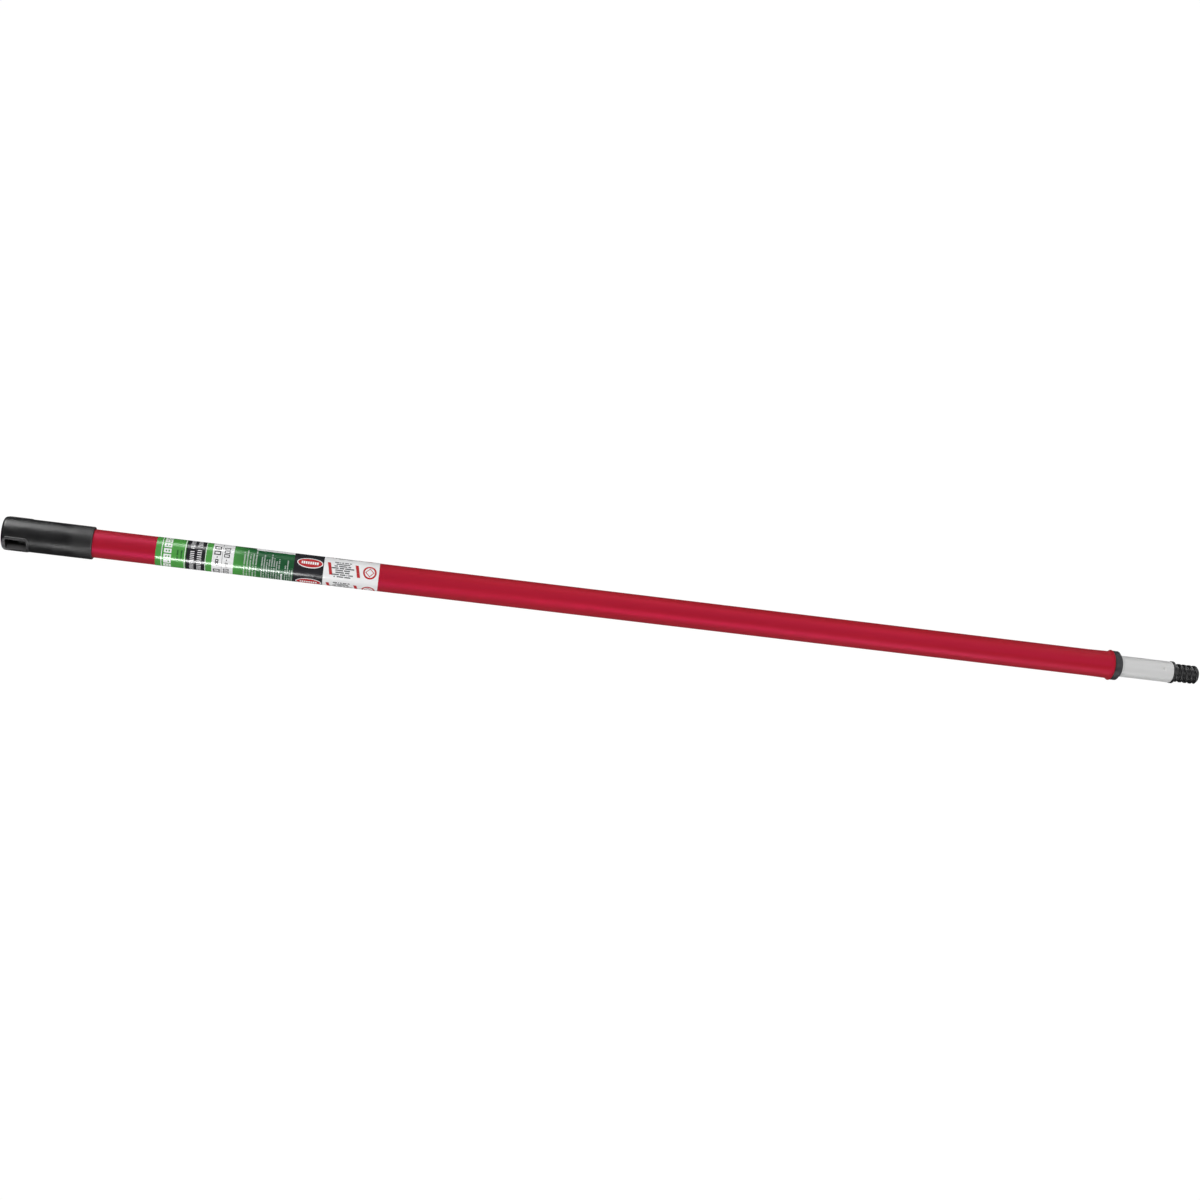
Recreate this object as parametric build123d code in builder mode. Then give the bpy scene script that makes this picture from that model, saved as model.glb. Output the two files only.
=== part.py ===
from build123d import *
import os
from math import ceil, cos, hypot, radians, sin

# Telescoping roller extension pole with a twist lock.
# Millimetres. The pole's axis is +X from the butt of the handle to the threaded tip, +Z is up,
# and the handle's hanging slot runs through along Y. The origin is the centre of the butt face.

os.makedirs("parts", exist_ok=True)

MM_PER_INCH = 25.4

# Driving sizes
reach = 1093.2                        # butt face to the end of the inner tube, closed
travel = 35 * MM_PER_INCH             # how far the inner tube draws out, from 43 to 78 inches
outer_radius = MM_PER_INCH / 2        # one inch tube
outer_wall = 0.8
inner_radius = 10.15
inner_wall = 0.8
running_gap = 0.08                    # radial, between the guide bush and the inner tube
body_gap = 0.3                        # between pieces that pass each other without bearing

outer_bore = outer_radius - outer_wall
inner_bore = inner_radius - inner_wall

# Handle grip
grip_radius = 14.65
grip_length = 78.5
grip_end_radius = 3.0
grip_end_wall = 3.4
grip_cavity_radius = 11.4
grip_mouth_radius = 1.0
slot_start = 4.2
slot_length = 18.0
slot_width = 13.0
slot_corner = 0.9
slot_wall = 2.0
slot_rim_width = 2.2
slot_rim_height = 0.6
slot_rim_round = 0.35
tube_seat = 27.0                      # the outer tube's rear end, inside the grip

# Flared mouth of the outer tube, and the guide bush pressed into it
mouth = 1032.3
swell_length = 22.0
swell = 0.35                          # the tube is stretched a little over the bush
bead_length = 3.4                     # from the swollen tube to the mouth
bead_radius = 14.55
bead_to_mouth = 0.6                   # the bead's crest to the mouth, which curls back in
mouth_radius = 14.05
bush_rim_radius = 13.95
bush_rim_length = 6.1
bush_nose_length = 2.7
bush_nose_radius = 10.9
bush_land = 12.0                      # length of each bearing land inside the bush
bush_relief = 0.5
bush_edge_radius = 0.6

# Labels, printed film sleeves round the outer tube
film = 0.12
product_label_start = 133.5
notice_label_start = 255.2
notice_label_end = 331.3

# Twist lock, in a row behind the inner tube when the pole is closed
stop_gap = 0.4                        # screw head to the wall of the slot
screw_head = 2.8
washer_thickness = 1.0
washer_radius = 5.5
disc_thickness = 5.0
ring_length = 26.0
cheek_length = 8.0
plug_barrel = 30.0
lock_throw = 0.45                     # the journal's offset from the pole's axis
journal_radius = 6.5
ring_play = 0.7                       # the split ring's radial play on the journal
ring_split = 2.0
ring_groove_width = 1.6
ring_groove_depth = 0.6
ring_grooves = 4
screw_radius = 2.0
screw_head_radius = 4.0
screw_length = 24.0
lock_guide_radius = outer_bore - body_gap

# Threaded tip
tip_length = 26.6
tip_barrel = 30.0
tip_flange = 2.2
tip_flange_radius = 10.6
tip_flange_round = 0.4
tip_taper = 2.4
thread_pitch = MM_PER_INCH / 5
thread_major = 8.8
thread_minor = 7.4
thread_crest = 1.9
thread_root = 4.1
thread_crest_round = 0.75
thread_phase = 9.1                    # tube end to where a crest passes the +Z side
tip_chamfer = 1.7
tip_core_radius = 5.0

# Punched dimples that stake the tip and the lock plug in the inner tube
dimple_radius = 2.2
dimple_depth = 0.7
dimple_from_end = 10.2
dimple_angle = 60.5                   # up from -Y towards +Z

slot_end = slot_start + slot_length
head_start = slot_end + slot_wall + stop_gap
washer_start = head_start + screw_head
disc_start = washer_start + washer_thickness
ring_start = disc_start + disc_thickness + body_gap
ring_end = ring_start + ring_length
cheek_start = ring_end + body_gap
inner_start = cheek_start + cheek_length
bush_start = inner_start + travel + stop_gap
total = reach + tip_length


def finish(piece, name):
    """Label a finished piece and write it out."""
    piece.part.label = name
    export_step(piece.part, f"parts/{name}.step")


def across(x, y=0.0, z=0.0):
    """A plane square to the pole at x, with its normal along +X and its own x axis along +Y."""
    return Plane(origin=(x, y, z), x_dir=(0, 1, 0), z_dir=(1, 0, 0))


def ring_edges(piece, x, radius):
    """The round edges of a turned piece at one place along the pole and of one radius."""
    circles = piece.edges().filter_by(GeomType.CIRCLE)
    abreast = circles.filter_by(lambda edge: abs(edge.arc_center.X - x) < 0.01)
    return abreast.filter_by(lambda edge: abs(edge.radius - radius) < 0.01)


def dimple_centres(tube_end):
    """Two punch positions on opposite sides of the inner tube, near one of its ends."""
    reach_out = inner_radius - dimple_depth + dimple_radius
    centres = []
    for turn in (0, 180):
        angle = radians(dimple_angle + turn)
        centres.append((tube_end, -reach_out * cos(angle), reach_out * sin(angle)))
    return centres


def stake_positions():
    """All four punch positions: two at the tip and two at the lock plug."""
    rear = dimple_centres(inner_start + dimple_from_end)
    front = dimple_centres(reach - dimple_from_end)
    return rear + front


# ---------------------------------------------------------------- handle grip
with BuildPart() as handle_grip:
    with BuildSketch(Plane.XZ):
        with BuildLine():
            Line((0, 0), (0, grip_radius - grip_end_radius))
            RadiusArc(
                (0, grip_radius - grip_end_radius),
                (grip_end_radius, grip_radius),
                grip_end_radius,
            )
            Polyline(
                (grip_end_radius, grip_radius),
                (grip_length, grip_radius),
                (grip_length, outer_radius),
                (tube_seat, outer_radius),
                (tube_seat, grip_cavity_radius),
                (grip_end_wall, grip_cavity_radius),
                (grip_end_wall, 0),
                (0, 0),
            )
        make_face()
    revolve(axis=Axis.X)
    fillet(ring_edges(handle_grip, grip_length, grip_radius), radius=grip_mouth_radius)

slot_middle = slot_start + slot_length / 2
slot_plane = Plane(origin=(slot_middle, 0, 0), x_dir=(1, 0, 0), z_dir=(0, -1, 0))

# the raised rim follows the grip's round wall at both mouths of the slot
with BuildPart() as slot_rim:
    with BuildSketch(across(0)):
        Circle(grip_radius + slot_rim_height)
        Circle(grip_radius - slot_wall, mode=Mode.SUBTRACT)
    extrude(amount=grip_length)
    with BuildSketch(slot_plane):
        RectangleRounded(
            slot_length + 2 * slot_rim_width,
            slot_width + 2 * slot_rim_width,
            slot_corner + slot_rim_width,
        )
    extrude(amount=grip_radius + slot_rim_height, both=True, mode=Mode.INTERSECT)

# the slot's walls cross the grip's hollow, so that nothing falls inside
with BuildPart() as slot_tunnel:
    with BuildSketch(slot_plane):
        RectangleRounded(
            slot_length + 2 * slot_wall,
            slot_width + 2 * slot_wall,
            slot_corner + slot_wall,
        )
    extrude(amount=grip_cavity_radius + 1, both=True)
    with BuildSketch(across(0)):
        Circle(grip_cavity_radius + 1)
    extrude(amount=tube_seat, mode=Mode.INTERSECT)

with BuildPart() as grip_with_slot:
    add(handle_grip.part)
    add(slot_rim.part)
    add(slot_tunnel.part)
    with BuildSketch(slot_plane):
        RectangleRounded(slot_length, slot_width, slot_corner)
    extrude(amount=2 * grip_radius, both=True, mode=Mode.SUBTRACT)
    rim_top = grip_radius + slot_rim_height
    rim_edges = grip_with_slot.edges().filter_by(
        lambda edge: all(
            abs(hypot((edge @ t).Y, (edge @ t).Z) - rim_top) < 0.01 for t in (0, 0.5, 1)
        )
    )
    fillet(rim_edges, radius=slot_rim_round)

finish(grip_with_slot, "handle_grip")


# ---------------------------------------------------------------- outer tube
def mouth_line(start, offset):
    """The wall near the mouth: straight from start, a little swollen, then beaded and curled in."""
    radius = outer_radius - offset
    Line((start, radius), (mouth - swell_length, radius))
    Line((mouth - swell_length, radius), (mouth - bead_length, radius + swell))
    Spline(
        (mouth - bead_length, radius + swell),
        (mouth - bead_to_mouth, bead_radius - offset),
        (mouth, mouth_radius - offset),
        tangents=[(1, 0), (1, -0.7)],
    )


with BuildPart() as outer_tube:
    with BuildSketch(Plane.XZ):
        with BuildLine():
            mouth_line(tube_seat, 0)
            Line((mouth, mouth_radius), (mouth, mouth_radius - outer_wall))
            mouth_line(tube_seat, outer_wall)
            Line((tube_seat, outer_bore), (tube_seat, outer_radius))
        make_face()
    revolve(axis=Axis.X)

finish(outer_tube, "outer_tube")


# ---------------------------------------------------------------- guide bush at the mouth
bush_end = mouth + bush_rim_length + bush_nose_length
bush_bore = inner_radius + running_gap

with BuildPart() as guide_bush:
    with BuildSketch(Plane.XZ):
        with BuildLine():
            Line((bush_start, bush_bore), (bush_start, outer_bore))
            mouth_line(bush_start, outer_wall)
            Polyline(
                (mouth, mouth_radius - outer_wall),
                (mouth, bush_rim_radius),
                (mouth + bush_rim_length, bush_rim_radius),
                (bush_end, bush_nose_radius),
                (bush_end, bush_bore),
                (bush_end - bush_land, bush_bore),
                (bush_end - bush_land, bush_bore + bush_relief),
                (bush_start + bush_land, bush_bore + bush_relief),
                (bush_start + bush_land, bush_bore),
                (bush_start, bush_bore),
            )
        make_face()
    revolve(axis=Axis.X)
    fillet(ring_edges(guide_bush, mouth + bush_rim_length, bush_rim_radius), bush_edge_radius)
    fillet(ring_edges(guide_bush, bush_end, bush_nose_radius), bush_edge_radius / 2)

finish(guide_bush, "guide_bush")


# ---------------------------------------------------------------- label sleeves
def label_sleeve(start, end, name):
    """A printed film wrapped once round the outer tube."""
    with BuildPart() as sleeve:
        with BuildSketch(across(start)):
            Circle(outer_radius + film)
            Circle(outer_radius, mode=Mode.SUBTRACT)
        extrude(amount=end - start)
    finish(sleeve, name)


label_sleeve(product_label_start, notice_label_start, "product_label")
label_sleeve(notice_label_start, notice_label_end, "notice_label")


# ---------------------------------------------------------------- inner tube
end_break = 0.3

with BuildPart() as inner_tube:
    with BuildSketch(Plane.XZ):
        with BuildLine():
            Polyline(
                (inner_start, inner_bore),
                (inner_start, inner_radius),
                (reach - end_break, inner_radius),
                (reach, inner_radius - end_break),
                (reach, inner_bore),
                (inner_start, inner_bore),
            )
        make_face()
    revolve(axis=Axis.X)
    with Locations(*stake_positions()):
        Sphere(dimple_radius + inner_wall)
    # trim the punch's bulges back to the tube's outside, then sink the dimples
    with BuildSketch(across(inner_start)):
        Circle(inner_radius)
    extrude(amount=reach - inner_start, mode=Mode.INTERSECT)
    with Locations(*stake_positions()):
        Sphere(dimple_radius, mode=Mode.SUBTRACT)

finish(inner_tube, "inner_tube")


# ---------------------------------------------------------------- threaded tip
flange_end = reach + tip_flange
thread_start = flange_end + tip_taper

with BuildPart() as tip_blank:
    with BuildSketch(Plane.XZ):
        with BuildLine():
            Polyline(
                (reach - tip_barrel, tip_core_radius),
                (reach - tip_barrel, inner_bore),
                (reach, inner_bore),
                (reach, tip_flange_radius),
                (flange_end, tip_flange_radius),
                (thread_start, thread_minor),
                (total, thread_minor),
                (total, 0),
                (reach + tip_length / 2, 0),
                (reach + tip_length / 2, tip_core_radius),
                (reach - tip_barrel, tip_core_radius),
            )
        make_face()
    revolve(axis=Axis.X)

thread_depth = thread_major - thread_minor
thread_spare = 0.5                    # the ridge is buried this deep in the core


def ridge_half_width(height):
    """Half the ridge's width at a height above the root, along its straight flanks."""
    return (thread_root - (thread_root - thread_crest) * height / thread_depth) / 2


foot = -thread_spare
first_crest = reach + thread_phase - 2 * thread_pitch
thread_turns = ceil((total - first_crest) / thread_pitch) + 1

with BuildPart() as tip_thread:
    for turn in range(thread_turns):
        with BuildLine() as one_turn:
            Helix(
                pitch=thread_pitch,
                height=thread_pitch,
                radius=thread_minor,
                center=(first_crest + turn * thread_pitch, 0, 0),
                direction=(1, 0, 0),
            )
        start = one_turn.line @ 0
        with BuildSketch(Plane(origin=start, x_dir=(0, 0, 1), z_dir=one_turn.line % 0)) as ridge:
            with BuildLine():
                Polyline(
                    (foot, -ridge_half_width(foot)),
                    (thread_depth, -ridge_half_width(thread_depth)),
                    (thread_depth, ridge_half_width(thread_depth)),
                    (foot, ridge_half_width(foot)),
                    (foot, -ridge_half_width(foot)),
                )
            make_face()
            fillet(ridge.vertices().group_by(Axis.Z)[-1], radius=thread_crest_round)
        sweep(path=one_turn.line, is_frenet=True)

# the envelope runs the thread out into the flange's taper and rounds off the free end
with BuildPart() as tip_envelope:
    with BuildSketch(Plane.XZ):
        with BuildLine():
            Polyline(
                (reach - tip_barrel, 0),
                (reach - tip_barrel, inner_bore),
                (reach, inner_bore),
                (reach, tip_flange_radius),
                (flange_end, tip_flange_radius),
                (thread_start, thread_major + thread_spare),
                (total - tip_chamfer - thread_spare, thread_major + thread_spare),
                (total, thread_major - tip_chamfer),
                (total, 0),
                (reach - tip_barrel, 0),
            )
        make_face()
    revolve(axis=Axis.X)

with BuildPart() as threaded_tip:
    add(tip_blank.part)
    add(tip_thread.part)
    add(tip_envelope.part, mode=Mode.INTERSECT)
    with Locations(*dimple_centres(reach - dimple_from_end)):
        Sphere(dimple_radius + inner_wall, mode=Mode.SUBTRACT)
    flange_edges = ring_edges(threaded_tip, reach, tip_flange_radius)
    fillet(flange_edges, radius=tip_flange_round)

finish(threaded_tip, "threaded_tip")


# ---------------------------------------------------------------- twist lock
with BuildPart() as lock_plug:
    with BuildSketch(across(inner_start)):
        Circle(inner_bore)
    extrude(amount=plug_barrel)
    with BuildSketch(across(cheek_start)):
        Circle(lock_guide_radius)
    extrude(amount=cheek_length)
    with BuildSketch(across(ring_start - body_gap, z=lock_throw)):
        Circle(journal_radius)
    extrude(amount=ring_length + 2 * body_gap)
    with BuildSketch(across(ring_start - body_gap)):
        Circle(screw_radius)
    extrude(amount=screw_length - disc_thickness - washer_thickness, mode=Mode.SUBTRACT)
    with Locations(*dimple_centres(inner_start + dimple_from_end)):
        Sphere(dimple_radius + inner_wall, mode=Mode.SUBTRACT)

finish(lock_plug, "lock_plug")

with BuildPart() as lock_ring:
    with BuildSketch(across(ring_start)):
        Circle(lock_guide_radius)
        with Locations((0, lock_throw)):
            Circle(journal_radius + ring_play, mode=Mode.SUBTRACT)
        with Locations((0, -outer_bore / 2)):
            Rectangle(ring_split, outer_bore, mode=Mode.SUBTRACT)
    extrude(amount=ring_length)
    for groove in range(ring_grooves):
        groove_middle = ring_start + ring_length * (groove + 1) / (ring_grooves + 1)
        with BuildSketch(across(groove_middle - ring_groove_width / 2)):
            Circle(outer_bore)
            Circle(lock_guide_radius - ring_groove_depth, mode=Mode.SUBTRACT)
        extrude(amount=ring_groove_width, mode=Mode.SUBTRACT)

finish(lock_ring, "lock_ring")

with BuildPart() as lock_end_disc:
    with BuildSketch(across(disc_start)):
        Circle(lock_guide_radius)
        Circle(screw_radius, mode=Mode.SUBTRACT)
    extrude(amount=disc_thickness)

finish(lock_end_disc, "lock_end_disc")

with BuildPart() as lock_washer:
    with BuildSketch(across(washer_start)):
        Circle(washer_radius)
        Circle(screw_radius, mode=Mode.SUBTRACT)
    extrude(amount=washer_thickness)

finish(lock_washer, "lock_washer")

with BuildPart() as lock_screw:
    with BuildSketch(across(head_start)):
        Circle(screw_head_radius)
    extrude(amount=screw_head)
    with BuildSketch(across(washer_start)):
        Circle(screw_radius)
    extrude(amount=screw_length)
    with BuildSketch(across(head_start)):
        Rectangle(1.0, 5.0)
        Rectangle(5.0, 1.0)
    extrude(amount=screw_head / 2, mode=Mode.SUBTRACT)

finish(lock_screw, "lock_screw")

print("closed length", round(total, 2), "outer tube", round(mouth - tube_seat, 2))
print("inner tube", round(reach - inner_start, 2), "bush sleeve", round(mouth - bush_start, 2))
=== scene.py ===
"""Looks of the telescoping roller extension pole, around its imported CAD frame.

Metres. X runs along the pole from the butt of the grip, and +Z is up. Angles round the pole are
measured from -Y, which faces the viewer, up towards +Z.
"""

from math import cos, pi, radians, sin

import bpy
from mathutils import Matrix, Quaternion, Vector


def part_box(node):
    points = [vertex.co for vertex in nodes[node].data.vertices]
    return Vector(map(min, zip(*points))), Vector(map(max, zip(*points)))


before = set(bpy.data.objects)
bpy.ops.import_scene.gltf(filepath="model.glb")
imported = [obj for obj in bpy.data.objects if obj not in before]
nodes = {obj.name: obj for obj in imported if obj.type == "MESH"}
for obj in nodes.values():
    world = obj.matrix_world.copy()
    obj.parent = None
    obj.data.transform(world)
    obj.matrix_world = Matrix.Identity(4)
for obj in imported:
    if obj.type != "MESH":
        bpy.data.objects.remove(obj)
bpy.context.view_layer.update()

MM = 0.001
grip_low, grip_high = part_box("handle_grip")
butt, grip_mouth = grip_low.x, grip_high.x
grip_radius = grip_high.z
slot_rim_radius = grip_high.y
tube_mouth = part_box("outer_tube")[1].x
bush_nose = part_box("guide_bush")[1].x
tip_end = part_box("threaded_tip")[1].x
film_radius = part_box("product_label")[1].y

# The grip's hanging slot, which runs through along Y
SLOT_START = 4.2 * MM
SLOT_END = 22.2 * MM
SLOT_HALF_HEIGHT = 6.5 * MM

BUTT_PAINTED_HIGHLIGHT = (0.36, 0.36, 0.37, 1)
WEAR_AND_HIGHLIGHT = (0.062, 0.060, 0.063, 1)
LIP_PAINTED_HIGHLIGHT = (0.035, 0.034, 0.036, 1)
DUST_AND_PAINTED_LIGHT = (0.13, 0.128, 0.13, 1)
SLOT_PAINTED_SHADE = (0.001, 0.001, 0.001, 1)
PAINTED_SHADE = (0.002, 0.002, 0.002, 1)

BLACK_INK = (0.019, 0.019, 0.023, 1)
GREY_INK = (0.03, 0.03, 0.035, 1)
WHITE_INK = (0.86, 0.86, 0.865, 1)
RED_INK = (0.50, 0.025, 0.03, 1)
DARK_GREEN_INK = (0.012, 0.10, 0.02, 1)
LIGHT_GREEN = (0.078, 0.36, 0.062, 1)
DEEP_GREEN = (0.010, 0.095, 0.030, 1)


# ------------------------------------------------------------------ node trees
class Shader:
    """A material's node tree, built by calls. Values may be numbers or other nodes' outputs."""

    def __init__(self, name):
        self.material = bpy.data.materials.new(name)
        self.material.use_nodes = True
        self.tree = self.material.node_tree
        self.surface = self.tree.nodes["Principled BSDF"]
        self.place = self.node("ShaderNodeTexCoord").outputs["Object"]
        split = self.node("ShaderNodeSeparateXYZ", Vector=self.place)
        self.x, self.y, self.z = split.outputs

    def node(self, kind, settings=None, **inputs):
        """A node of one kind, with its settings and its inputs by name."""
        made = self.tree.nodes.new(kind)
        for key, value in (settings or {}).items():
            setattr(made, key, value)
        for key, value in inputs.items():
            self.put(made.inputs[key.replace("_", " ")], value)
        return made

    def put(self, socket, value):
        """Set a socket to a plain value, or link it to an output."""
        if isinstance(value, bpy.types.NodeSocket):
            self.tree.links.new(value, socket)
        else:
            socket.default_value = value

    def math(self, operation, *values):
        made = self.node("ShaderNodeMath", {"operation": operation})
        for socket, value in zip(made.inputs, values):
            self.put(socket, value)
        return made.outputs[0]

    def blend(self, amount, first, second):
        """Colour first where amount is 0, second where it is 1."""
        made = self.node("ShaderNodeMix", {"data_type": "RGBA"})
        self.put(made.inputs["Factor"], amount)
        colours = (socket for socket in made.inputs if socket.type == "RGBA")
        for socket, value in zip(colours, (first, second)):
            self.put(socket, value)
        return next(socket for socket in made.outputs if socket.type == "RGBA")

    def all_of(self, *masks):
        """A mask that is 1 where every mask is."""
        product = masks[0]
        for mask in masks[1:]:
            product = self.math("MULTIPLY", product, mask)
        return product

    def any_of(self, *masks):
        """A mask that is 1 where at least one mask is."""
        largest = masks[0]
        for mask in masks[1:]:
            largest = self.math("MAXIMUM", largest, mask)
        return largest

    def band(self, value, low, high):
        """1 where the value lies between two bounds."""
        return self.math("COMPARE", value, (low + high) / 2, (high - low) / 2)

    def middle_band(self, value, half_width):
        """1 where the value is within half_width of 0."""
        return self.band(value, -half_width, half_width)

    def remap(self, value, low, high, to_low=0.0, to_high=1.0, smooth=False):
        kind = "SMOOTHSTEP" if smooth else "LINEAR"
        made = self.node("ShaderNodeMapRange", {"interpolation_type": kind})
        for socket, number in zip(made.inputs, (value, low, high, to_low, to_high)):
            self.put(socket, number)
        return made.outputs[0]

    def step(self, value, zero_at, one_at):
        """A soft step from 0 at one value to 1 at another."""
        return self.remap(value, zero_at, one_at, smooth=True)

    def turn(self):
        """The angle round the pole, in radians."""
        return self.math("ARCTAN2", self.z, self.math("MULTIPLY", self.y, -1.0))

    def noise(self, scale, detail=2.0, stretch=(1, 1, 1), roughness=0.5):
        """Noise of a scale in features per metre, stretched along the axes."""
        spread = self.node("ShaderNodeMapping", Vector=self.place, Scale=stretch)
        made = self.node(
            "ShaderNodeTexNoise", Vector=spread.outputs[0], Scale=scale, Detail=detail,
            Roughness=roughness,
        )
        return made.outputs[0]

    def bump(self, height, distance, strength=1.0, after=None):
        made = self.node("ShaderNodeBump", Height=height, Distance=distance, Strength=strength)
        if after is not None:
            self.put(made.inputs["Normal"], after)
        return made.outputs[0]

    def finish(self, **inputs):
        """Set the surface's own sockets."""
        for key, value in inputs.items():
            self.put(self.surface.inputs[key.replace("_", " ")], value)
        return self.material


def wear(name, material):
    """Give a CAD node a material in all its slots."""
    for slot in nodes[name].material_slots:
        slot.material = material


# ------------------------------------------------------------------ red paint
def red_paint():
    paint = Shader("red_paint_finish")
    clouds = paint.noise(9.0, 3.0, (0.4, 1, 1))
    colour = paint.blend(
        paint.remap(clouds, 0.35, 0.65), (0.362, 0.0095, 0.0145, 1), (0.394, 0.0110, 0.0165, 1)
    )
    peel = paint.noise(420.0, 2.0)
    flow = paint.noise(60.0, 1.0, (0.15, 1, 1))
    dust = paint.remap(paint.noise(1500.0, 1.0), 0.71, 0.76)
    scratches = paint.noise(900.0, 2.0, (0.02, 1, 1))
    rub = paint.remap(scratches, 0.62, 0.74, 0.0, 0.06)
    roughness = paint.math("ADD", paint.remap(flow, 0.3, 0.7, 0.44, 0.50), rub)
    normal = paint.bump(peel, 0.02 * MM)
    normal = paint.bump(dust, 0.01 * MM, 0.5, normal)
    return paint.finish(
        Base_Color=colour, Roughness=roughness, Normal=normal, IOR=1.5,
        Specular_IOR_Level=0.5, Specular_Tint=(1.0, 0.05, 0.31, 1),
    )


# ------------------------------------------------------------------ plastics
class Plastic(Shader):
    """Moulded black plastic, a little mottled, with a fine grain."""

    def __init__(self, name, dark, light, mottle_scale):
        super().__init__(name)
        self.mottle = self.noise(mottle_scale, 4.0, (0.7, 1, 1), 0.6)
        self.colour = self.blend(self.remap(self.mottle, 0.35, 0.7), dark, light)

    def lay_colour(self, mask, colour):
        self.colour = self.blend(mask, self.colour, colour)

    def mould(self, roughness, specular, spread=0.06, dull=0.0, lumps=0.15 * MM):
        """The finished material, its roughness give or take the spread, plus dull."""
        clouds = self.noise(170.0, 2.0, (0.6, 1, 1))
        rough = self.remap(clouds, 0.3, 0.7, roughness - spread, roughness + spread)
        rough = self.math("ADD", rough, dull)
        normal = self.bump(self.mottle, lumps)
        normal = self.bump(self.noise(2600.0, 2.0), 0.03 * MM, 1.0, normal)
        return self.finish(
            Base_Color=self.colour, Roughness=rough, Normal=normal, IOR=1.5,
            Specular_IOR_Level=specular,
        )


def grip_plastic():
    plastic = Plastic("grip_moulding", (0.006, 0.006, 0.0064, 1), (0.010, 0.010, 0.0108, 1), 260.0)
    across = plastic.node("ShaderNodeCombineXYZ", X=0.0, Y=plastic.y, Z=plastic.z).outputs[0]
    length = plastic.node("ShaderNodeVectorMath", {"operation": "LENGTH"}, Vector=across)
    radius = length.outputs["Value"]
    turn = plastic.turn()
    patches = plastic.remap(plastic.noise(300.0, 3.0), 0.25, 0.6)
    # a painted highlight: a patchy light grey patch on the butt's lower front edge, on the side
    # that faces the viewer
    butt_highlight_mask = plastic.all_of(
        plastic.step(plastic.x, 12.0 * MM, 1.0 * MM),
        plastic.step(turn, radians(22), radians(-4)),
        plastic.step(turn, radians(-80), radians(-50)),
        plastic.step(radius, 9.5 * MM, 12.5 * MM),
    )
    plastic.lay_colour(plastic.all_of(butt_highlight_mask, plastic.remap(patches, 0, 1, 0.75, 1.0)), BUTT_PAINTED_HIGHLIGHT)
    # the rim round the slot is lighter, up to a little above the slot: partly wear, partly a
    # painted highlight
    on_rim = plastic.remap(radius, slot_rim_radius - 0.4 * MM, slot_rim_radius - 0.1 * MM)
    below = plastic.step(turn, radians(44), radians(30))
    plastic.lay_colour(plastic.all_of(on_rim, below, patches), WEAR_AND_HIGHLIGHT)
    # painted shade: the slot is near black inside; the outer parts of its lower wall are lighter,
    # partly dust and partly painted light
    in_slot = plastic.all_of(
        plastic.middle_band(plastic.z, SLOT_HALF_HEIGHT + 0.4 * MM),
        plastic.band(plastic.x, SLOT_START - 0.2 * MM, SLOT_END + 0.2 * MM),
        plastic.math("LESS_THAN", radius, grip_radius - 0.25 * MM),
    )
    plastic.lay_colour(in_slot, SLOT_PAINTED_SHADE)
    # partly dust, partly painted light: the lower wall is lighter towards both openings
    on_lower_wall = plastic.math("LESS_THAN", plastic.z, -SLOT_HALF_HEIGHT + 0.5 * MM)
    outer_part = plastic.step(plastic.math("ABSOLUTE", plastic.y), 5.0 * MM, 9.5 * MM)
    plastic.lay_colour(plastic.all_of(in_slot, on_lower_wall, outer_part), DUST_AND_PAINTED_LIGHT)
    # a painted highlight: a thin, patchy lighter band along the lip at the grip's mouth
    lip = plastic.math("GREATER_THAN", plastic.x, grip_mouth - 1.0 * MM)
    plastic.lay_colour(plastic.all_of(lip, patches), LIP_PAINTED_HIGHLIGHT)
    # handling has dulled the last part
    last_part = plastic.step(plastic.x, grip_mouth - 22 * MM, grip_mouth - 6 * MM)
    return plastic.mould(0.38, 0.36, dull=plastic.math("MULTIPLY", last_part, 0.20))


def bush_plastic():
    plastic = Plastic("bush_moulding", (0.020, 0.020, 0.024, 1), (0.032, 0.032, 0.036, 1), 300.0)
    # painted shade: the bush darkens into the corner at the tube's mouth
    mouth_shade = plastic.remap(plastic.x, tube_mouth + 0.4 * MM, tube_mouth + 1.8 * MM, 1.0, 0.0)
    plastic.lay_colour(plastic.math("MULTIPLY", mouth_shade, 0.9), PAINTED_SHADE)
    return plastic.mould(0.46, 0.35)


def tip_plastic():
    plastic = Plastic("tip_moulding", (0.005, 0.005, 0.0055, 1), (0.008, 0.008, 0.0088, 1), 240.0)
    return plastic.mould(0.40, 0.5, 0.03, lumps=0.04 * MM)


def nylon():
    plastic = Shader("nylon")
    clouds = plastic.noise(120.0, 3.0)
    colour = plastic.blend(clouds, (0.66, 0.63, 0.55, 1), (0.80, 0.78, 0.71, 1))
    normal = plastic.bump(plastic.noise(1800.0, 2.0), 0.02 * MM)
    return plastic.finish(
        Base_Color=colour, Roughness=plastic.remap(clouds, 0.3, 0.7, 0.38, 0.5), Normal=normal,
    )


# ------------------------------------------------------------------ metals
def bare_tube():
    metal = Shader("drawn_tube")
    lines = metal.noise(1400.0, 3.0, (0.01, 1, 1))
    patches = metal.noise(25.0, 2.0, (0.3, 1, 1))
    colour = metal.blend(
        metal.remap(patches, 0.35, 0.65), (0.60, 0.60, 0.60, 1), (0.625, 0.625, 0.622, 1)
    )
    # a faint line just outside the guide bush, where closing the pole stops it each time
    stop_line = metal.band(metal.x, bush_nose + 1.6 * MM, bush_nose + 2.1 * MM)
    colour = metal.blend(metal.math("MULTIPLY", stop_line, 0.25), colour, (0.2, 0.2, 0.2, 1))
    return metal.finish(
        Base_Color=colour, Roughness=metal.remap(lines, 0.3, 0.7, 0.42, 0.50),
        Normal=metal.bump(lines, 0.004 * MM), Metallic=0.04, Specular_IOR_Level=0.3,
    )


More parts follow.
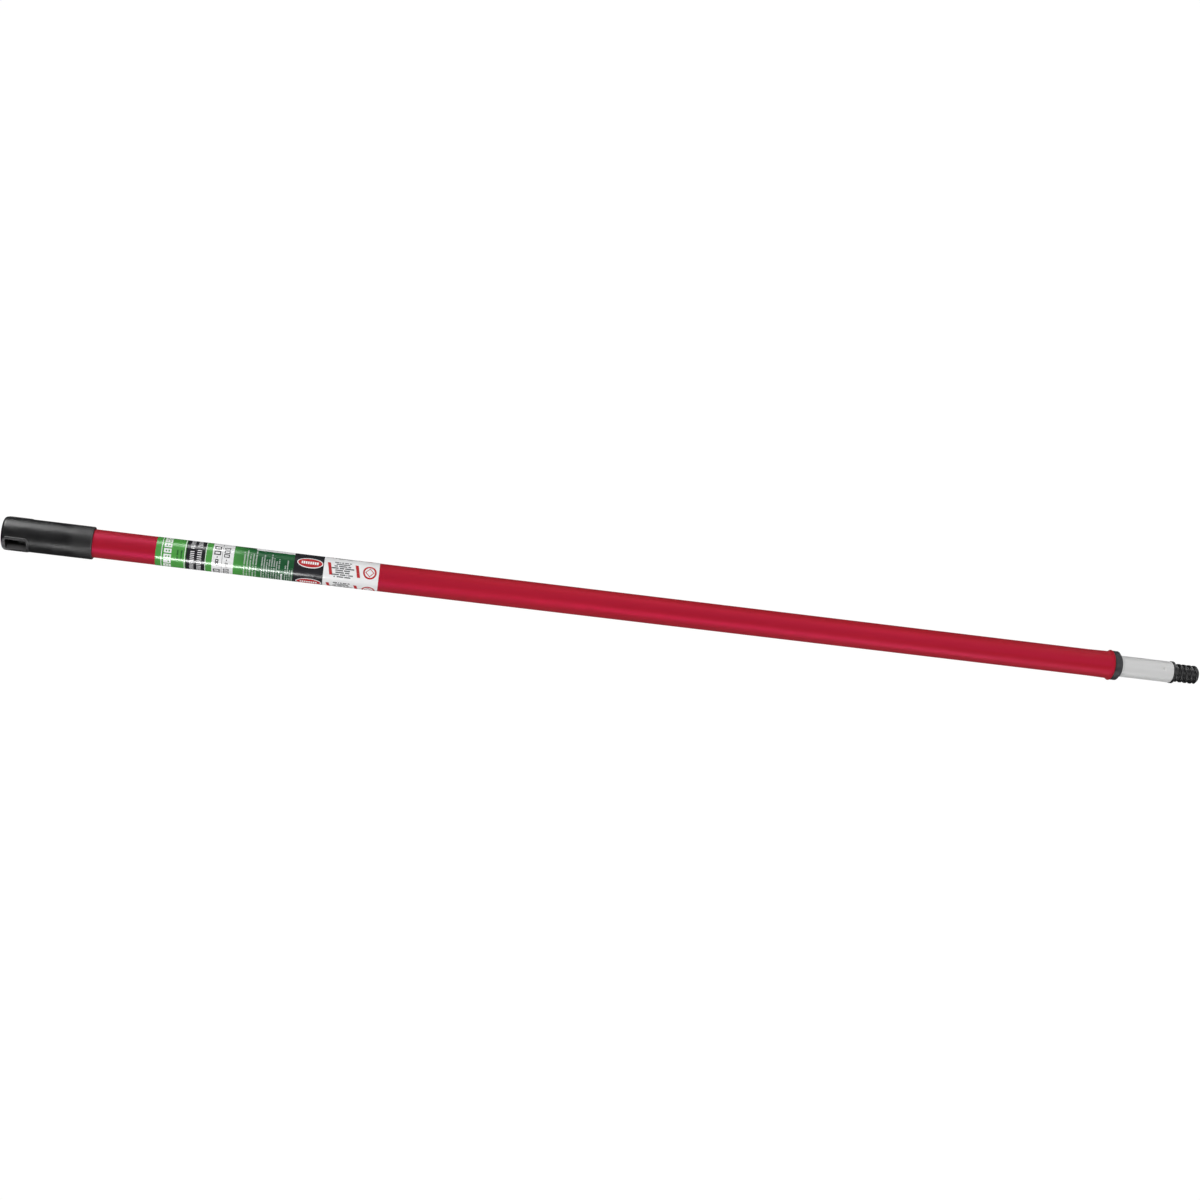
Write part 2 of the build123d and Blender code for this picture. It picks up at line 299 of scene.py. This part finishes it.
def screw_steel():
    metal = Shader("zinc_steel")
    lines = metal.noise(2200.0, 2.0, (0.05, 1, 1))
    colour = metal.blend(lines, (0.50, 0.50, 0.52, 1), (0.68, 0.68, 0.69, 1))
    return metal.finish(
        Base_Color=colour, Roughness=metal.remap(lines, 0.3, 0.7, 0.25, 0.4),
        Normal=metal.bump(lines, 0.008 * MM), Metallic=1.0,
    )


# ------------------------------------------------------------------ printed films
def arc(angle):
    """The length round the film, in millimetres, of an angle in degrees from the front."""
    return radians(angle) * film_radius / MM


class Film(Shader):
    """A glossy printed film, laid out in millimetres.

    down is the length along the pole on the print's own ruler, which reads start at the film's
    near end. around is the length round the film from the front.
    """

    def __init__(self, name, node, start):
        super().__init__(name)
        self.down = self.math("MULTIPLY_ADD", self.x, 1 / MM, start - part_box(node)[0].x / MM)
        turn = self.turn()
        self.degrees = self.math("MULTIPLY", turn, 180 / pi)
        self.around = self.math("MULTIPLY", turn, film_radius / MM)

    def repeated(self, period, centre):
        """The length round the film from the nearest of the centres, which are a period apart.

        The period and any one of the centres are given in degrees.
        """
        shifted = self.math("SUBTRACT", self.degrees, centre - period / 2)
        wrapped = self.math("FLOORED_MODULO", shifted, period)
        return self.math("MULTIPLY", self.math("SUBTRACT", wrapped, period / 2), arc(1))

    def oval(self, across, along, half_across, half_along):
        """The square of the distance from the centre, 1 on an oval's outline."""
        terms = [
            self.math("POWER", self.math("DIVIDE", value, half), 2.0)
            for value, half in ((across, half_across), (along, half_along))
        ]
        return self.math("ADD", *terms)

    def lines(self, down, along, first, last, pitch, height, cell, start, end, ragged=0.0,
              fill=0.8, ink=0.75):
        """Lines of small bars that stand for print, between first and last in down.

        A line starts at every pitch and is as high as height. It runs from start to end in along,
        or stops short of the end by up to ragged. Bars stand in cells of one length: fill is the
        share of the cells that hold a bar, and ink is the share of its cell that a bar takes up.
        """
        count = self.math("DIVIDE", self.math("SUBTRACT", down, first), pitch)
        line = self.math("FLOOR", count)
        in_line = self.math("LESS_THAN", self.math("FRACT", count), height / pitch)
        spots = self.math("DIVIDE", along, cell)
        place = self.node("ShaderNodeCombineXYZ", X=self.math("FLOOR", spots), Y=line)
        chance = self.node("ShaderNodeTexWhiteNoise", Vector=place.outputs[0]).outputs[0]
        printed = self.math("LESS_THAN", chance, fill)
        bars = self.math("LESS_THAN", self.math("FRACT", spots), ink)
        per_line = self.node("ShaderNodeTexWhiteNoise", {"noise_dimensions": "1D"}, W=line)
        line_end = self.math("MULTIPLY_ADD", per_line.outputs[0], -ragged, end)
        return self.all_of(
            in_line, printed, bars, self.math("GREATER_THAN", along, start),
            self.math("LESS_THAN", along, line_end), self.band(down, first, last),
        )

    def line(self, first, height, cell, start, end, fill, ink=0.75):
        """One line of such bars round the film, which starts at first on the ruler."""
        alone = 30.0    # a pitch that is longer than any line is high
        return self.lines(
            self.down, self.around, first, first + height, alone, height, cell, start, end,
            fill=fill, ink=ink,
        )

    def figure(self, row, place, half_height, half_width, stroke):
        """An upright box drawn in strokes, which stands for a printed figure."""
        from_row = self.math("SUBTRACT", self.down, row)
        from_place = self.math("SUBTRACT", self.around, place)
        full = self.all_of(
            self.middle_band(from_row, half_height), self.middle_band(from_place, half_width)
        )
        hollow = self.all_of(
            self.middle_band(from_row, half_height - stroke),
            self.middle_band(from_place, half_width - stroke),
        )
        return self.math("SUBTRACT", full, hollow)

    def laminate(self, colour):
        wrinkles = self.noise(40.0, 1.0, (0.4, 1, 1))
        rough = self.remap(self.noise(300.0, 2.0), 0.3, 0.7, 0.20, 0.27)
        return self.finish(
            Base_Color=colour, Roughness=rough, Normal=self.bump(wrinkles, 0.04 * MM), IOR=1.5,
            Specular_IOR_Level=0.36,
        )


def length_range(film):
    """A mask of a thin line and two rows of boxes for figures, each row with a dash in it."""
    marks = [film.band(film.down, 189.2, 189.5)]
    for row, half_height, half_width, stroke, places in (
        (185.0, 3.0, 2.0, 1.0, (-7.2, -2.2, 15.6, 21.0)),
        (185.0, 1.4, 1.4, 0.8, (5.4, 8.4)),
        (193.4, 2.5, 1.5, 0.8, (-8.0, -4.2, -0.4, 13.6, 17.2, 20.8)),
        (193.4, 1.2, 1.0, 0.6, (4.0, 6.4)),
    ):
        for place in places:
            marks.append(film.figure(row, place, half_height, half_width, stroke))
    for row, place in ((185.0, 11.6), (193.4, 9.6)):
        across = film.band(film.around, place - 0.7, place + 0.7)
        marks.append(film.all_of(across, film.band(film.down, row - 0.4, row + 0.4)))
    return film.any_of(*marks)


def heading(film):
    """A mask of a line of blocks, each with a solid upright and with open parts beside it."""
    cell, start, end = 5.1, arc(-40), arc(170)
    blocks = film.line(138.3, 6.6, cell, start, end, 1.0, 0.78)
    open_parts = film.any_of(
        film.line(139.8, 1.3, cell, start, end, 0.6, 0.5),
        film.line(142.2, 1.3, cell, start, end, 0.7, 0.55),
    )
    in_cell = film.math("FRACT", film.math("DIVIDE", film.around, cell))
    upright = film.math("LESS_THAN", in_cell, 0.24)
    return film.all_of(blocks, film.any_of(upright, film.math("SUBTRACT", 1.0, open_parts)))


def product_film():
    film = Film("product_print", "product_label", 131.0)
    down, around = film.down, film.around
    fade = film.step(film.math("MULTIPLY_ADD", around, 0.5, down), 196.0, 236.0)
    colour = film.blend(fade, LIGHT_GREEN, DEEP_GREEN)
    clouds = film.noise(30.0, 2.0)
    colour = film.blend(film.remap(clouds, 0.3, 0.8, 0.0, 0.12), colour, DARK_GREEN_INK)
    small_print = film.lines(down, around, 149.5, 155.2, 3.4, 1.6, 0.9, arc(24), arc(62))
    colour = film.blend(small_print, colour, DARK_GREEN_INK)
    # the black and the white band
    colour = film.blend(film.band(down, 157.6, 174.4), colour, BLACK_INK)
    colour = film.blend(film.band(down, 180.6, 199.4), colour, WHITE_INK)
    colour = film.blend(length_range(film), colour, BLACK_INK)
    # print so fine that it blurs into the green
    fine_print = film.any_of(
        film.lines(down, around, 208.5, 221.5, 2.6, 1.15, 0.8, arc(-80), arc(104), arc(24)),
        film.lines(down, around, 224.0, 240.5, 2.2, 1.05, 0.8, arc(-80), arc(92), arc(30)),
        film.lines(down, around, 245.0, 252.8, 2.0, 1.0, 0.8, arc(-80), arc(80), arc(50)),
    )
    blur = film.remap(film.noise(5000.0, 0.0), 0.3, 0.7, 0.75, 0.35)
    colour = film.blend(film.all_of(fine_print, blur), colour, WHITE_INK)
    # white rules and print, and a panel at the back
    rules = [film.band(down, *ends) for ends in ((136.1, 136.7), (156.4, 157.0), (174.6, 175.1))]
    panel = film.all_of(film.band(film.degrees, 108.5, 172.0), film.band(down, 218.4, 253.0))
    white = film.any_of(
        *rules, panel, heading(film),
        film.line(161.2, 3.6, 1.7, arc(-60), arc(150), 0.72, 0.42),
        film.line(167.4, 3.8, 1.9, arc(-80), arc(165), 0.72, 0.42),
        film.line(241.6, 1.7, 1.6, arc(-38), arc(14), 0.95),
    )
    return film.laminate(film.blend(white, colour, WHITE_INK))


def notice_film():
    """Designs that repeat four times round the pole, on a black end and a white rest."""
    film = Film("notice_print", "notice_label", 253.4)
    down = film.down
    from_oval = film.repeated(90.0, 74.0)
    from_sign = film.repeated(90.0, 62.0)
    black_end = film.math("LESS_THAN", down, 279.9)
    colour = film.blend(black_end, WHITE_INK, BLACK_INK)
    # a red oval with a white edge and a bar of blocks
    from_middle = film.math("SUBTRACT", down, 267.6)
    edge = film.math("LESS_THAN", film.oval(from_middle, from_oval, 11.6, 5.0), 1.0)
    colour = film.blend(edge, colour, WHITE_INK)
    field = film.math("LESS_THAN", film.oval(from_middle, from_oval, 10.8, 4.2), 1.0)
    colour = film.blend(field, colour, RED_INK)
    bar = film.all_of(film.middle_band(from_middle, 7.6), film.middle_band(from_oval, 1.3))
    blocks = film.math("LESS_THAN", film.math("FRACT", film.math("DIVIDE", from_middle, 2.0)), 0.72)
    colour = film.blend(film.all_of(bar, blocks), colour, WHITE_INK)
    # two slanted red bars, and a red ring round a square on its corner
    red = []
    for centre in (285.6, 310.5):
        slanted = film.math("MULTIPLY_ADD", from_sign, 0.22, film.math("SUBTRACT", down, centre))
        red.append(film.all_of(film.middle_band(slanted, 1.4), film.middle_band(from_sign, 5.8)))
    from_ring = film.math("SUBTRACT", down, 321.3)
    distance = film.math("SQRT", film.oval(from_ring, from_sign, 1.0, 1.0))
    red.append(film.band(distance, 4.5, 6.1))
    outward = film.math("ADD", film.math("ABSOLUTE", from_ring), film.math("ABSOLUTE", from_sign))
    red.append(film.band(outward, 3.1, 4.1))
    colour = film.blend(film.any_of(*red), colour, RED_INK)
    # a block of grey lines along the pole, centred and ragged at both ends
    pitch = 1.95
    in_block = film.math("ADD", from_sign, 8.4)
    block = film.lines(in_block, down, 0.8, 16.2, pitch, 1.2, 0.85, 280.0, 315.0, 0, 0.88, 0.85)
    row = film.math("FLOOR", film.math("DIVIDE", in_block, pitch))
    chance = film.node("ShaderNodeTexWhiteNoise", {"noise_dimensions": "1D"}, W=row).outputs[0]
    half_length = film.math("MULTIPLY_ADD", chance, -4.5, 10.2)
    from_centre = film.math("ABSOLUTE", film.math("SUBTRACT", down, 297.0))
    block = film.all_of(block, film.math("LESS_THAN", from_centre, half_length))
    return film.laminate(film.blend(block, colour, GREY_INK))


wear("product_label", product_film())
wear("notice_label", notice_film())
wear("outer_tube", red_paint())
wear("handle_grip", grip_plastic())
wear("guide_bush", bush_plastic())
wear("threaded_tip", tip_plastic())
wear("inner_tube", bare_tube())
white_nylon = nylon()
for part in ("lock_plug", "lock_ring", "lock_end_disc"):
    wear(part, white_nylon)
steel = screw_steel()
for part in ("lock_washer", "lock_screw"):
    wear(part, steel)


# ------------------------------------------------------------------ stage
def glowing(name, corners, faces):
    """A white, glowing piece of the stage, which casts no shadow and shows in no reflection."""
    mesh = bpy.data.meshes.new(name)
    mesh.from_pydata(corners, [], faces)
    piece = bpy.data.objects.new(name, mesh)
    bpy.context.scene.collection.objects.link(piece)
    white = Shader(name + "_white")
    white.finish(
        Base_Color=(0.02, 0.02, 0.02, 1), Roughness=0.9, Specular_IOR_Level=0.0,
        Emission_Color=(1, 1, 1, 1), Emission_Strength=1.0,
    )
    mesh.materials.append(white.material)
    piece.visible_glossy = False
    piece.visible_shadow = False
    return piece


half_stage = 6.0
floor_level = grip_low.z - 0.1 * MM    # just below the grip, so that the two don't meet
stage_outline = [
    (-half_stage, -half_stage), (half_stage, -half_stage),
    (half_stage, half_stage), (-half_stage, half_stage),
]
glowing("floor", [(x, y, floor_level) for x, y in stage_outline], [(0, 1, 2, 3)])
# walls and a ceiling that only the camera sees
backdrop = glowing(
    "backdrop", [(x, y, z) for z in (floor_level, half_stage) for x, y in stage_outline],
    [(0, 1, 5, 4), (1, 2, 6, 5), (2, 3, 7, 6), (3, 0, 4, 7), (4, 5, 6, 7)],
)
backdrop.visible_diffuse = False

middle = (butt + tip_end) / 2


def softbox(name, angle, distance, length, width, power, x=middle, slant=0):
    """An area light alongside the pole, facing it, at an angle round the pole from the front.

    A slant, in degrees, turns it in its own plane, which takes its +X end to higher angles.
    """
    lamp = bpy.data.lights.new(name, "AREA")
    lamp.shape = "RECTANGLE"
    lamp.size = length
    lamp.size_y = width
    lamp.energy = power
    holder = bpy.data.objects.new(name, lamp)
    bpy.context.scene.collection.objects.link(holder)
    turned = radians(angle)
    outward = Vector((0, -cos(turned), sin(turned)))
    holder.location = Vector((x, 0, 0)) + outward * distance
    holder.rotation_mode = "ZYX"
    holder.rotation_euler = (pi / 2 - turned, 0, radians(slant))
    holder.visible_camera = False
    return holder


# Each lamp's name, angle, distance, length, width and power, its place in X and its slant
# broad soft light that reflections don't show
for lamp_numbers in (
    ("key", 70, 1.6, 3.0, 1.8, 37.0),
    ("front", -10, 1.6, 3.0, 0.6, 2.1),
    ("back", 150, 1.6, 3.0, 1.4, 4.5),
):
    softbox(*lamp_numbers).visible_glossy = False
# narrow strips that only reflections show
for lamp_numbers in (
    ("upper_near_grip", 124, 0.6, 0.26, 0.46, 7.8, -0.27),
    ("upper_near_label", 119, 0.6, 0.10, 0.28, 1.1, 0.10),
    ("lower_near_grip", -5, 0.6, 0.20, 0.12, 3.6, 0.125),
    ("upper_strip", 114, 0.6, 0.90, 0.28, 3.5, 0.79, -31),
    ("lower_strip", -3, 0.6, 0.92, 0.10, 4.6, 0.87, -26),
    ("tube_panel", 54, 0.9, 0.26, 0.50, 1.9, 1.43),
    ("tip_panel", 140, 0.6, 0.16, 0.40, 2.5, 1.56),
):
    softbox(*lamp_numbers).visible_diffuse = False

world = bpy.data.worlds.new("studio")
bpy.context.scene.world = world
world.use_nodes = True
world.node_tree.nodes["Background"].inputs["Color"].default_value = (1, 1, 1, 1)
world.node_tree.nodes["Background"].inputs["Strength"].default_value = 0.05


# ------------------------------------------------------------------ camera
view_elevation = radians(48)
camera_roll = radians(14.86)
camera_range = 1.6046
camera_abreast = 0.32917
aim_along = 0.5352
aim_above = 0.00355

toward_viewer = Vector((0, -cos(view_elevation), sin(view_elevation)))
picture_up = Vector((0, sin(view_elevation), cos(view_elevation)))
lens = bpy.data.cameras.new("camera")
lens.sensor_width = 36
lens.lens = 52.55
lens.clip_start = 0.01
camera = bpy.data.objects.new("camera", lens)
bpy.context.scene.collection.objects.link(camera)
camera.location = Vector((camera_abreast, 0, 0)) + toward_viewer * camera_range
aim = Vector((aim_along, 0, 0)) + picture_up * aim_above
look = (aim - camera.location).to_track_quat("-Z", "Y")
camera.rotation_mode = "QUATERNION"
camera.rotation_quaternion = look @ Quaternion((0, 0, 1), camera_roll)
bpy.context.scene.camera = camera
bpy.context.scene.view_settings.view_transform = "Standard"
